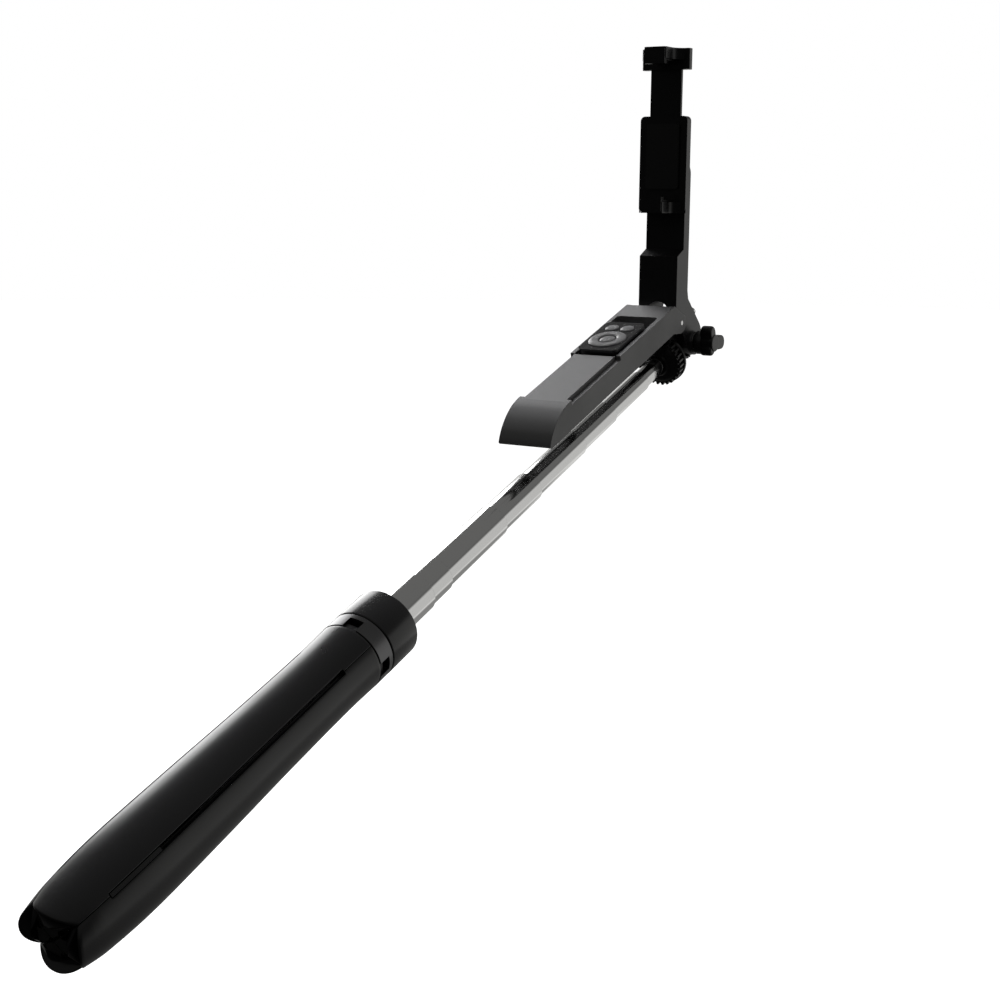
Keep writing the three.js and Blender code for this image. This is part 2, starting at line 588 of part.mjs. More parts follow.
// ---- remote ------------------------------------------------------------------------------------
const BUTTONS = { t: 341.4, x: 4.4, r: 3.8 };
const DIAL = { t: 326.8, r: 10, inner: 4.6, key: 4.2 };
const remoteOuter = prism(
  PLAN, rounded(-REMOTE.half, REMOTE.half, REMOTE.t0, REMOTE.t1, 3), REMOTE.bottom + 1.4, REMOTE.top, 0.6,
);
const remoteHollow = prism(
  PLAN, rounded(-REMOTE.half + 1.2, REMOTE.half - 1.2, REMOTE.t0 + 1.2, REMOTE.t1 - 1.2, 2),
  REMOTE.bottom, REMOTE.top - 1.6,
);
function well(x, t, r) {
  return prism(PLAN, round(x, t, r + 0.25, 28), REMOTE.top - 3, REMOTE.top + 1);
}
add('remote_body', cut(
  remoteOuter,
  remoteHollow,
  well(-BUTTONS.x, BUTTONS.t, BUTTONS.r),
  well(BUTTONS.x, BUTTONS.t, BUTTONS.r),
  well(0, DIAL.t, DIAL.r),
), GLOSS);
add('remote_base', prism(
  PLAN, rounded(-REMOTE.half + 0.2, REMOTE.half - 0.2, REMOTE.t0 + 0.2, REMOTE.t1 - 0.2, 3),
  REMOTE.bottom, REMOTE.bottom + 1.1,
), SATIN);
add('remote_board', prism(
  PLAN, rounded(-9.6, 9.6, REMOTE.t0 + 1.6, REMOTE.t1 - 1.6, 1.5), 31.9, 32.7,
), BOARD);
add('remote_cell', prism(PLAN, round(0, 326.8, 8, 36), 28.7, 31.6, 0.3), STEEL);

function key(name, x, t, r, hole) {
  const cap = prism(PLAN, round(x, t, r, 28), 33.6, REMOTE.top + 0.9, 0.35);
  add(name, hole ? cut(cap, prism(PLAN, round(x, t, hole, 28), 33, 38)) : cap, BUTTON);
}
key('key_left', -BUTTONS.x, BUTTONS.t, BUTTONS.r, 0);
key('key_right', BUTTONS.x, BUTTONS.t, BUTTONS.r, 0);
key('key_ring', 0, DIAL.t, DIAL.r, DIAL.inner);
key('key_centre', 0, DIAL.t, DIAL.key, 0);

export default group;
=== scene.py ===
"""Looks of the telescoping selfie stick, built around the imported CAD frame.

Shapes are drawn in millimetres in one of two local frames and placed by a matrix:
STICK is (x, t, h): right, along the stick's axis, above it.
CLAMP is (x, y, z) from the middle of a held phone.
"""
import json
import math

import bmesh
import bpy
import numpy as np
from mathutils import Matrix, Vector


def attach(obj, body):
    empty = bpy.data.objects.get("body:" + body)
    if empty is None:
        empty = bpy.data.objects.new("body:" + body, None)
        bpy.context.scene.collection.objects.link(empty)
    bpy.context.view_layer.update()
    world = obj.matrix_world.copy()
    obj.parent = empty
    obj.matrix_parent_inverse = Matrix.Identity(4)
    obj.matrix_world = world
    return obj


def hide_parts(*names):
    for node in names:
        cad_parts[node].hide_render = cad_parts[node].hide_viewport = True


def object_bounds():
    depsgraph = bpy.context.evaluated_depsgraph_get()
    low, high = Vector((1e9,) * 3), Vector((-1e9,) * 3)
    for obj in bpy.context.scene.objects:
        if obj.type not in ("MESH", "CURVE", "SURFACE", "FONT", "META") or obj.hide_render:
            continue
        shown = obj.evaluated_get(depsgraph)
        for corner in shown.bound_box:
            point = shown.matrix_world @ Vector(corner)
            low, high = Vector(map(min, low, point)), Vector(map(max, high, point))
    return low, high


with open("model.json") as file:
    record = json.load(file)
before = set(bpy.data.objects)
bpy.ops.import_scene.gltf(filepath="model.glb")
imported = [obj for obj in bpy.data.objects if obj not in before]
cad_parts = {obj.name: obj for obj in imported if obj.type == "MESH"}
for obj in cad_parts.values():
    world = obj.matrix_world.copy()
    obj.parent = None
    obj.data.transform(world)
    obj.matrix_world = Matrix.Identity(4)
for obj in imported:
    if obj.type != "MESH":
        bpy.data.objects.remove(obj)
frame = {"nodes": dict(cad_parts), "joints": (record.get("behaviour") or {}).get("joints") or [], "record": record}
CAD_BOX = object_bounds()
MM = 0.001

# ---- camera ------------------------------------------------------------------
CAMERA = {
    "place": (0.387501, -0.456621, 0.20826),  # metres
    "pitch": 79.82568,  # degrees up from straight down
    "roll": -0.502243,
    "yaw": 30.96614,  # degrees left of +Y
    "lens": 59.4,  # millimetres
    "sensor": 36,
    "far": 60,  # metres
}


def make_camera():
    data = bpy.data.cameras.new("camera")
    data.lens = CAMERA["lens"]
    data.sensor_width = CAMERA["sensor"]
    data.clip_end = CAMERA["far"]
    camera = bpy.data.objects.new("camera", data)
    camera.location = CAMERA["place"]
    camera.rotation_euler = [math.radians(CAMERA[name]) for name in ("pitch", "roll", "yaw")]
    bpy.context.scene.collection.objects.link(camera)
    bpy.context.scene.camera = camera


make_camera()

# ---- local frames ------------------------------------------------------------
JOINTS = {joint["name"]: joint for joint in frame["joints"]}
MOUNTS = {mount["name"]: Vector(mount["pos_m"]) for mount in frame["record"]["mounts"]}
RIGHT = Vector((1, 0, 0))
BACK = Vector((0, 1, 0))
UP = Vector((0, 0, 1))
ALONG = Vector(JOINTS["head_slide"]["axis"])
ABOVE = RIGHT.cross(ALONG)


def local_frame(x, y, z, origin=(0, 0, 0)):
    """Matrix from local millimetres to the row frame in metres."""
    matrix = Matrix((x, y, z)).transposed().to_4x4()
    matrix.translation = origin
    return matrix @ Matrix.Scale(MM, 4)


JAW_INSET = 3 * MM  # the jaw mounts stand this far behind the screen plane
STICK = local_frame(RIGHT, ALONG, ABOVE)
MIDDLE = (MOUNTS["lower_jaw_face"] + MOUNTS["upper_jaw_face"]) / 2 - BACK * JAW_INSET
CLAMP = local_frame(RIGHT, BACK, UP, MIDDLE)


def span(node, home):
    """Lowest and highest corner of a CAD node in a local frame, in millimetres."""
    inverse = home.inverted()
    points = np.array([inverse @ v.co for v in frame["nodes"][node].data.vertices])
    return Vector(points.min(0)), Vector(points.max(0))


def pivot(joint, home):
    """Where a hinge's axis crosses the middle plane, in local millimetres."""
    return home.inverted() @ Vector(JOINTS[joint]["pos_m"])


# ---- outlines ----------------------------------------------------------------
def arc(cx, cy, r, start, end, n=12):
    angles = [math.radians(start + (end - start) * i / n) for i in range(n + 1)]
    return [(cx + r * math.cos(a), cy + r * math.sin(a)) for a in angles]


def disc(cx, cy, r, n=64):
    return arc(cx, cy, r, 0, 360 - 360 / n, n - 1)


def rounded(x0, x1, y0, y1, r, n=6):
    """Outline of a rectangle with round corners."""
    x_low, x_high, y_low, y_high = x0 + r, x1 - r, y0 + r, y1 - r
    corners = ((x_high, y_high, 0), (x_low, y_high, 90), (x_low, y_low, 180), (x_high, y_low, 270))
    return [p for cx, cy, start in corners for p in arc(cx, cy, r, start, start + 90, n)]


def smooth(points, n=8):
    """A Catmull-Rom curve through the points, ends included."""
    p = np.array([points[0], *points, points[-1]], float)
    curve = []
    for i in range(1, len(p) - 2):
        for k in range(n):
            u = k / n
            a = -0.5 * p[i - 1] + 1.5 * p[i] - 1.5 * p[i + 1] + 0.5 * p[i + 2]
            b = p[i - 1] - 2.5 * p[i] + 2 * p[i + 1] - 0.5 * p[i + 2]
            c = 0.5 * (p[i + 1] - p[i - 1])
            curve.append(tuple(((a * u + b) * u + c) * u + p[i]))
    return curve + [tuple(p[-2])]


def mirrored(right):
    """A whole outline from its right half, given from front to back."""
    return right + [(-x, y) for x, y in reversed(right)]


def swapped(outline):
    """The outline with its two axes exchanged, because a prism along y or t takes (z, x) or (h, x)."""
    return [(b, a) for a, b in outline]


# ---- meshes ------------------------------------------------------------------
AXES = {"x": (1, 2, 0), "t": (2, 0, 1), "h": (0, 1, 2)}  # outline's two axes, then the depth's
AXES["y"] = AXES["t"]
AXES["z"] = AXES["h"]


def placed(outline, axis, depth):
    """The outline as points of a local frame, at one depth along the axis."""
    u, v, w = AXES[axis]
    ring = []
    for a, b in outline:
        point = [0, 0, 0]
        point[u], point[v], point[w] = a, b, depth
        ring.append(point)
    return ring


def as_mesh(bm):
    bmesh.ops.recalc_face_normals(bm, faces=bm.faces)
    mesh = bpy.data.meshes.new("shape")
    bm.to_mesh(mesh)
    bm.free()
    return mesh


def loft(rings, closed=False):
    """Surface through rings of equally many points; closed joins the last ring to the first."""
    bm = bmesh.new()
    rows = [[bm.verts.new(p) for p in ring] for ring in rings]
    count = len(rings[0])
    pairs = list(zip(rows, rows[1:]))
    if closed:
        pairs.append((rows[-1], rows[0]))
    else:
        bm.faces.new(rows[0][::-1])
        bm.faces.new(rows[-1])
    for near, far in pairs:
        for i in range(count):
            j = (i + 1) % count
            bm.faces.new((near[i], near[j], far[j], far[i]))
    return as_mesh(bm)


def prism(outline, axis, low, high):
    return loft([placed(outline, axis, low), placed(outline, axis, high)])


def block(x0, x1, y0, y1, z0, z1):
    return prism([(x0, y0), (x1, y0), (x1, y1), (x0, y1)], "h", z0, z1)


def turned(profile, axis="t", centre=(0, 0), hollow=True, n=96):
    """Surface of revolution of (radius, depth) points; a hollow one's profile joins its own start."""
    rings = [placed(disc(*centre, r, n), axis, depth) for r, depth in profile]
    return loft(rings, closed=hollow)


def rod(radius, low, high, axis="t", centre=(0, 0), n=96):
    """A plain round bar, to cut a bore with or to join on."""
    return turned([(radius, low), (radius, high)], axis, centre, hollow=False, n=n)


def linked(mesh, name="work"):
    obj = bpy.data.objects.new(name, mesh)
    bpy.context.scene.collection.objects.link(obj)
    return obj


def boolean(operation, first, others):
    base = linked(first)
    tools = [linked(other) for other in others]
    for tool in tools:
        modifier = base.modifiers.new("boolean", "BOOLEAN")
        modifier.operation = operation
        modifier.object = tool
        modifier.solver = "EXACT"
    graph = bpy.context.evaluated_depsgraph_get()
    result = bpy.data.meshes.new_from_object(base.evaluated_get(graph))
    for obj in [base, *tools]:
        bpy.data.objects.remove(obj)
    return result


def union(first, *others):
    return boolean("UNION", first, others)


def cut(first, *others):
    return boolean("DIFFERENCE", first, others)


# ---- materials ---------------------------------------------------------------
def link(tree, source, socket, target, name):
    tree.links.new(source.outputs[socket], target.inputs[name])


def noise(tree, place, scale, detail=3.0):
    node = tree.nodes.new("ShaderNodeTexNoise")
    node.inputs["Scale"].default_value = scale
    node.inputs["Detail"].default_value = detail
    tree.links.new(place, node.inputs["Vector"])
    return node


def spread(tree, source, low, high):
    """The noise's value, which is mostly from 0.3 to 0.7, moved to lie between low and high."""
    node = tree.nodes.new("ShaderNodeMapRange")
    node.inputs["From Min"].default_value = 0.3
    node.inputs["From Max"].default_value = 0.7
    node.inputs["To Min"].default_value = low
    node.inputs["To Max"].default_value = high
    link(tree, source, "Fac", node, "Value")
    return node


BROAD_SCALE = 35.0  # noise scale of the broad unevenness
GLOSS_SHARES = (0.88, 1.14)  # how far it moves the roughness
BUMP_STRENGTH = 0.5


def finish(
    slot, colour, roughness, metallic=0.0, grain=2200.0, depth=0.02, tint=0.12, stretch=(1, 1, 1)
):
    """A moulded or drawn surface: fine grain in the bump, broad unevenness in colour and gloss.

    Grain is the bump's noise scale, depth its height in millimetres, tint the colour's spread.
    """
    material = bpy.data.materials.new(slot)
    material.use_nodes = True
    tree = material.node_tree
    shader = tree.nodes["Principled BSDF"]
    place = tree.nodes.new("ShaderNodeTexCoord")
    turn = tree.nodes.new("ShaderNodeMapping")
    turn.inputs["Rotation"].default_value = (-math.atan2(ALONG.z, ALONG.y), 0, 0)
    size = tree.nodes.new("ShaderNodeMapping")
    size.inputs["Scale"].default_value = stretch
    link(tree, place, "Object", turn, "Vector")
    link(tree, turn, "Vector", size, "Vector")
    where = size.outputs["Vector"]
    broad = noise(tree, where, BROAD_SCALE)
    fine = noise(tree, where, grain, detail=2.0)
    mix = tree.nodes.new("ShaderNodeMix")
    mix.data_type = "RGBA"
    mix.inputs["A"].default_value = (*[c * (1 - tint) for c in colour], 1)
    mix.inputs["B"].default_value = (*[c * (1 + tint) for c in colour], 1)
    link(tree, broad, "Fac", mix, "Factor")
    link(tree, mix, "Result", shader, "Base Color")
    gloss = spread(tree, broad, *[roughness * share for share in GLOSS_SHARES])
    link(tree, gloss, "Result", shader, "Roughness")
    bump = tree.nodes.new("ShaderNodeBump")
    bump.inputs["Strength"].default_value = BUMP_STRENGTH
    bump.inputs["Distance"].default_value = depth * MM
    link(tree, fine, "Fac", bump, "Height")
    link(tree, bump, "Normal", shader, "Normal")
    shader.inputs["Metallic"].default_value = metallic
    return material


DRAWN = (1.0, 0.03, 1.0)  # fine lines along the stick
LOOK_ROWS = {
    "satin_black_abs": dict(colour=(0.011, 0.011, 0.012), roughness=0.3, depth=0.012),
    "gloss_black_abs": dict(colour=(0.014, 0.014, 0.015), roughness=0.24, depth=0.006),
    "dark_grey_abs": dict(colour=(0.15, 0.15, 0.153), roughness=0.45, tint=0.04),
    "black_rubber": dict(colour=(0.012, 0.012, 0.012), roughness=0.5, depth=0.04),
    "polished_steel": dict(
        colour=(0.8, 0.8, 0.8), roughness=0.11, metallic=1.0, grain=1500.0, depth=0.0, tint=0.03,
        stretch=DRAWN,
    ),
    "grey_alloy": dict(
        colour=(0.15, 0.15, 0.153), roughness=0.36, metallic=1.0, grain=1800.0, depth=0.006,
    ),
    "button_rubber": dict(colour=(0.15, 0.15, 0.153), roughness=0.26, depth=0.01),
    "natural_acetal": dict(colour=(0.72, 0.7, 0.64), roughness=0.45),
    "green_laminate": dict(colour=(0.02, 0.1, 0.04), roughness=0.5, depth=0.03),
}
LOOKS = {slot: finish(slot, **row) for slot, row in LOOK_ROWS.items()}


# ---- pieces ------------------------------------------------------------------
SHARP = math.radians(32)  # an edge that bends more than this stays an edge


def smooth_shading():
    """Node group that shades smooth and keeps sharp edges."""
    group = bpy.data.node_groups.new("smooth_by_angle", "GeometryNodeTree")
    group.interface.new_socket("Geometry", in_out="INPUT", socket_type="NodeSocketGeometry")
    group.interface.new_socket("Geometry", in_out="OUTPUT", socket_type="NodeSocketGeometry")
    start = group.nodes.new("NodeGroupInput")
    end = group.nodes.new("NodeGroupOutput")
    faces = group.nodes.new("GeometryNodeSetShadeSmooth")
    edges = group.nodes.new("GeometryNodeSetShadeSmooth")
    edges.domain = "EDGE"
    angle = group.nodes.new("GeometryNodeInputMeshEdgeAngle")
    limit = group.nodes.new("FunctionNodeCompare")
    limit.operation = "LESS_THAN"
    limit.inputs["B"].default_value = SHARP
    group.links.new(start.outputs[0], faces.inputs["Geometry"])
    group.links.new(faces.outputs[0], edges.inputs["Geometry"])
    group.links.new(angle.outputs["Unsigned Angle"], limit.inputs["A"])
    group.links.new(limit.outputs["Result"], edges.inputs["Shade Smooth"])
    group.links.new(edges.outputs[0], end.inputs[0])
    return group


SMOOTH = smooth_shading()


def refine(obj, bevel, segments=3):
    """Rounds the sharp edges and evens the shading, by modifiers only."""
    if bevel:
        rounding = obj.modifiers.new("edges", "BEVEL")
        rounding.width = bevel * MM
        rounding.segments = segments
        rounding.limit_method = "ANGLE"
        rounding.angle_limit = SHARP
        rounding.miter_outer = "MITER_ARC"
    shading = obj.modifiers.new("shading", "NODES")
    shading.node_group = SMOOTH
    if bevel:
        weighted = obj.modifiers.new("normals", "WEIGHTED_NORMAL")
        weighted.keep_sharp = True


def slot_of(node):
    rows = frame["record"]["subparts"]
    return next(row["material_slot"] for row in rows if row["node"] == node)


def piece(node, body, mesh, home, bevel, segments=3):
    """A fine surface that stands for the CAD node of the same name."""
    mesh.transform(home)
    obj = linked(mesh, f"{node}_surface")
    obj.data.materials.clear()
    obj.data.materials.append(LOOKS[slot_of(node)])
    refine(obj, bevel, segments)
    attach(obj, body)
    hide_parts(node)
    return obj


# ---- legs --------------------------------------------------------------------
LEG_ANGLES = (13, 103, 193, 283)
LEG_HALF = 45  # degrees from a leg's middle to its seam
GRIP_STATIONS = (
    (-101, 13.7), (-88, 15.5), (-64, 16.8), (-24, 16.4), (16, 15.6), (56, 15.25), (76.3, 15.7),
)  # (t, radius) of the closed grip
GRIP_CURVE = np.array(smooth(GRIP_STATIONS, 20))
GRIP_LOW, GRIP_HIGH = GRIP_STATIONS[0][0], GRIP_STATIONS[-1][0]
SOFT_EDGE = ((0, 0.55), (0.12, 0.3), (0.3, 0.12), (0.6, 0))  # (distance from an end, inset)
WALL = ((-90.4, 3.4), (-89, 2.2), (74.8, 2.2), (GRIP_HIGH, 1))  # (t, thickness)
SEAM = 0.07  # half the gap between two closed shells
FILLET = 0.3
SLOT = {"low": -82, "high": 57, "half": 1.1, "strip": -56.5}
NOTCH = {"start": -88, "depth": 4.6, "power": 2.2}  # the end is cut back towards the seams
MOUTH = {"t": -94, "flat": 7.3, "corner": 0.7}  # square mouth at the end, half its width, its corner
EYE = {"r": 1.5, "hole": 0.95, "root": 66, "half_height": 1.4, "half_width": 3}
LINER = {"outer": 12.7, "inner": 10.3, "gap": 0.25}
TOE = {"outer": 9.6, "flange": 11.2, "inner": 1.4, "gap": 0.35, "fillet": 0.5, "flat": 6.9}
TOE_EDGE = ((-99.4, 0.9), (-99.3, 0.55), (-99, 0.25), (-98.4, 0), (-93.2, 0))  # (t, inset)
TOE_FLANGE = (-93.3, -91.6)
BAY = {"half": 9.7, "t": -99.8, "steps": 10, "clear": 20, "behind": -92, "beyond": -110}


def grip_radius(t):
    return float(np.interp(t, GRIP_CURVE[:, 0], GRIP_CURVE[:, 1]))


def cut_back(share):
    """How far an end is cut back, at a share of the way from a leg's middle to its seam."""
    return NOTCH["depth"] * share ** NOTCH["power"]


def polar(r, degrees):
    a = math.radians(degrees)
    return np.array([r * math.sin(a), r * math.cos(a)])


def leg_section(outer, inner, gap, fillet, flat=0.0):
    """Cross-section of one leg, spread to either side of +h, as (x, h).

    gap is kept free beside the seam's plane, and flat squares off the inside.
    """
    towards = polar(1, LEG_HALF - 90)
    off = gap + fillet
    centre = polar(math.sqrt((outer - fillet) ** 2 - off**2), LEG_HALF) + off * towards
    start = LEG_HALF - math.degrees(math.asin(off / (outer - fillet)))
    square = LEG_HALF + 90
    right = [polar(outer, start * i / 20) for i in range(1, 20)]
    right += [centre + polar(fillet, start + (square - start) * i / 6) for i in range(7)]
    inside = LEG_HALF - math.degrees(math.asin(gap / inner))
    for i in range(15):
        a = inside * (1 - i / 14)
        right.append(polar(max(inner, flat / math.cos(math.radians(a))), a))
    left = [np.array([-x, h]) for x, h in reversed(right[:-1])]
    return [polar(outer, 0), *right, *left]


def shell_stations():
    """(t, inset) of the shell's rings, closest where the mouth, the slot or an edge needs them."""
    places = [-99, -97, MOUTH["t"], MOUTH["t"] + 0.4, -91, -90.4, -89, NOTCH["start"], -85, -83.4]
    places += [SLOT["low"] - 0.4, SLOT["low"], SLOT["low"] + 0.3]
    places += list(np.arange(-78, 55, 4.0))
    places += [SLOT["high"] - 0.3, SLOT["high"], SLOT["high"] + 0.4, 59, 62, 66, 70, 73, 74.8]
    first = [(GRIP_LOW + d, inset) for d, inset in SOFT_EDGE]
    last = [(GRIP_HIGH - d, inset) for d, inset in reversed(SOFT_EDGE)]
    return [*first, *[(t, 0) for t in places], *last]


def shell_ring(t, inset):
    """One ring of the shell, bent down the stick's axis where the end is cut back."""
    mouth = t <= MOUTH["t"]
    inner = grip_radius(t) - np.interp(t, *zip(*WALL))
    if mouth:
        inner = MOUTH["flat"] + MOUTH["corner"]
    gap = SLOT["half"] if SLOT["low"] <= t <= SLOT["high"] else SEAM
    bend = max(0, (NOTCH["start"] - t) / (NOTCH["start"] - GRIP_LOW))
    ring = []
    for x, h in leg_section(grip_radius(t) - inset, inner, gap, FILLET, MOUTH["flat"] if mouth else 0):
        share = min(1, abs(math.degrees(math.atan2(x, h))) / LEG_HALF)
        ring.append((x, t + cut_back(share) * bend, h))
    return ring


def shell_mesh():
    """One leg's shell, centred on +h: slots along both seams, thick end, hinge eye at the top."""
    shell = loft([shell_ring(t, inset) for t, inset in shell_stations()])
    hinge = STICK.inverted() @ Vector(JOINTS["leg_1_fold"]["pos_m"])
    reach = math.hypot(hinge.x, hinge.z)
    eye = arc(hinge.y, reach, EYE["r"], -90, 90, 12)
    root = [(EYE["root"], reach + EYE["half_height"]), (EYE["root"], reach - EYE["half_height"])]
    tongue = prism([*eye, *root], "x", -EYE["half_width"], EYE["half_width"])
    hole = rod(EYE["hole"], -6, 6, "x", (hinge.y, reach), 24)
    return cut(union(shell, tongue), hole)


def seam_bar(stations, inner, outer_at, low, high):
    """A bar along a leg's seam, from radius inner to outer_at(t) and from low to high across it."""
    across, outward = polar(1, 90 - LEG_HALF), polar(1, -LEG_HALF)
    rings = []
    for t in stations:
        outer = outer_at(t)
        corners = ((inner, low), (outer, low), (outer, high), (inner, high))
        outline = [outward * r + across * n for r, n in corners]
        rings.append([(x, t, h) for x, h in outline])
    return loft(rings)


def liner_mesh():
    """The leg's inner sleeve, with the raised strip that fills the slot's lower end."""
    ends = span("leg_1_liner", STICK)
    section = leg_section(LINER["outer"], LINER["inner"], LINER["gap"], FILLET)
    sleeve = loft([[(x, end.y, h) for x, h in section] for end in ends])
    low, high = SLOT["low"] + 0.3, SLOT["strip"]
    strip = seam_bar(np.linspace(low, high, 9), 12.9, lambda t: grip_radius(t) - 0.3, -0.75, 0.85)
    foot = seam_bar((low, high), 12, lambda t: 13.2, 0.35, 0.8)
    return union(sleeve, strip, foot)


def toe_mesh():
    """Rubber toe: a quarter of a square block with soft edges, cut back like the shell's end."""
    rings = []
    for t, inset in TOE_EDGE:
        gap = TOE["gap"] + inset * 0.5
        section = leg_section(TOE["outer"] - inset, TOE["inner"], gap, TOE["fillet"])
        rings.append([(x, t, min(h, TOE["flat"] - inset)) for x, h in section])
    section = leg_section(TOE["flange"], TOE["inner"], TOE["gap"], TOE["fillet"])
    flange = [[(x, t, h) for x, h in section] for t in TOE_FLANGE]
    shares = [i / BAY["steps"] for i in range(-BAY["steps"], BAY["steps"] + 1)]
    bay = [(BAY["half"] * share, BAY["t"] + cut_back(abs(share))) for share in shares]
    clear, behind, beyond = BAY["clear"], BAY["behind"], BAY["beyond"]
    bay += [(clear, behind), (clear, beyond), (-clear, beyond), (-clear, behind)]
    return cut(union(loft(rings), loft(flange)), prism(bay, "h", -1, 20))


def make_legs():
    shell, liner, toe = shell_mesh(), liner_mesh(), toe_mesh()
    for i, angle in enumerate(LEG_ANGLES, 1):
        home = STICK @ Matrix.Rotation(math.radians(angle), 4, "Y")
        piece(f"leg_{i}_shell", f"leg_{i}", shell.copy(), home, 0)
        piece(f"leg_{i}_liner", f"leg_{i}", liner.copy(), home, 0.15, 2)
        piece(f"leg_{i}_foot", f"leg_{i}", toe.copy(), home, 0.2, 2)


make_legs()

# ---- ring and collar ---------------------------------------------------------
WINDOW = {"half": 3.3, "top": 82.7, "floor": 10.8, "out": 20}
RING_WALL = 6.1
COLLAR_WALL = 6.25


def sleeve_mesh(node, wall, edge):
    """A sleeve with round outer edges, from the CAD node's length and radius."""
    lo, hi = span(node, STICK)
    outer = hi.x
    bore = outer - wall
    profile = [
        (bore, lo.y),
        *arc(outer - edge, lo.y + edge, edge, -90, 0, 5),
        *arc(outer - edge, hi.y - edge, edge, 0, 90, 5),
        (bore + 0.25, hi.y),
        (bore, hi.y - 0.25),
    ]
    return turned(profile)


def make_ring():
    below = span("hinge_ring", STICK)[0].y - 1
    half = WINDOW["half"]
    windows = []
    for angle in LEG_ANGLES:
        window = block(-half, half, below, WINDOW["top"], WINDOW["floor"], WINDOW["out"])
        window.transform(Matrix.Rotation(math.radians(angle), 4, "Y"))
        windows.append(window)
    ring = cut(sleeve_mesh("hinge_ring", RING_WALL, 0.3), *windows)
    piece("hinge_ring", "handle", ring, STICK, 0.18)
    piece("collar_sleeve", "handle", sleeve_mesh("collar_sleeve", COLLAR_WALL, 0.9), STICK, 0)


make_ring()

# ---- telescoping tubes -------------------------------------------------------
TUBE_WALL = 0.3
TUBE_EDGE = 0.14


def make_tubes():
    bodies = {"guide_tube": "handle", "tube_7": "head"}
    for node in ["guide_tube", *[f"tube_{i}" for i in range(1, 8)]]:
        body = bodies.get(node, node.replace("tube", "section"))
        piece(node, body, sleeve_mesh(node, TUBE_WALL, TUBE_EDGE), STICK, 0)


make_tubes()

# ---- head --------------------------------------------------------------------
TILT = pivot("arm_tilt", STICK)
LIFT = pivot("cover_lift", STICK)
CROWN = {"r": 12.9, "teeth": 27, "depth": 1.3, "t0": 378.9, "t1": 384.6, "flange": 13.4, "t2": 387}
HUB_HALF = 6.7
HUB_TOP = 396
NEAR_AXIS = 0.01  # a solid's profile starts this far from its axis
BOLT_BORE = 2.7
TUBE_BORE = 5.15
PIN_BORE = {"hub": 1.35, "cover": 1.4}
BOSS_RADIUS = 8.2
ROSETTE = {"r": 9.4, "teeth": 24, "depth": 1, "start": 3.2}
LUG = {"r": 3.2, "half": 6.6, "foot": 381.4, "low": 4}
TOOTH = ((0, 0.3), (0.1, 0), (0.4, 0), (0.5, 0.3), (0.6, 1), (0.9, 1))  # (share of a turn, of depth)


def toothed(cx, cy, r, teeth, depth):
    points = []
    for i in range(teeth):
        for share, inset in TOOTH:
            a = 2 * math.pi * (i + share) / teeth
            reach = r - depth * inset
            points.append((cx + reach * math.cos(a), cy + reach * math.sin(a)))
    return points


def solid_of_revolution(*profile):
    """A solid turned about the stick's axis, from its outer (radius, t) points."""
    return turned([(NEAR_AXIS, profile[0][1]), *profile, (NEAR_AXIS, profile[-1][1])], hollow=False)


def make_hub():
    mouth = span("head_hub", STICK)[0].y
    low, mid, top = CROWN["t0"], CROWN["t1"], CROWN["t2"]
    root, rim = CROWN["r"] - CROWN["depth"], CROWN["flange"]
    tilt, lift = (TILT.y, TILT.z), (LIFT.y, LIFT.z)
    socket = solid_of_revolution((5.9, mouth), (6.6, mouth + 0.7), (HUB_HALF, HUB_TOP))
    dish = smooth([
        (6.2, mouth + 0.7), (7.6, mouth + 1.1), (9.4, mouth + 1.9), (10.8, low + 0.2), (root, low + 1),
    ], 4)
    face = solid_of_revolution(*dish, (root, mid))
    teeth = toothed(0, 0, CROWN["r"], CROWN["teeth"], CROWN["depth"])
    crown = prism(teeth, "t", low + 0.4, mid)
    flange = solid_of_revolution(
        (rim - 0.5, mid - 0.4), (rim, mid + 0.1), (rim, top - 0.8), (rim - 0.8, top),
    )
    boss = prism(disc(*tilt, BOSS_RADIUS), "x", -HUB_HALF, HUB_HALF)
    star = toothed(*tilt, ROSETTE["r"], ROSETTE["teeth"], ROSETTE["depth"])
    rosette = prism(star, "x", ROSETTE["start"], HUB_HALF)
    lug_side = [*arc(*lift, LUG["r"], 10, 190), (LUG["foot"], LUG["low"]), (HUB_TOP, LUG["low"])]
    lug = prism(lug_side, "x", -LUG["half"], LUG["half"])
    bore = rod(TUBE_BORE, mouth - 1, 380)
    axle = rod(BOLT_BORE, -9, 9, "x", tilt, 48)
    pin = rod(PIN_BORE["hub"], -9, 9, "x", lift, 32)
    body = cut(union(socket, face, crown, flange, boss, rosette, lug), bore, axle, pin)
    piece("head_hub", "head", body, STICK, 0.18, 2)


make_hub()

# ---- fork arm ----------------------------------------------------------------
HINGE = pivot("arm_tilt", CLAMP)
SWIVEL = pivot("clamp_swivel", CLAMP)
ARM = {
    "half": span("fork_arm", CLAMP)[1].x,
    "front": 6.5,
    "back": 20.5,
    "step": 14,
    "slot": 7,
    "arch": -96.6,
    "ledge": -61.8,
}
SWIVEL_BORE = 4.3


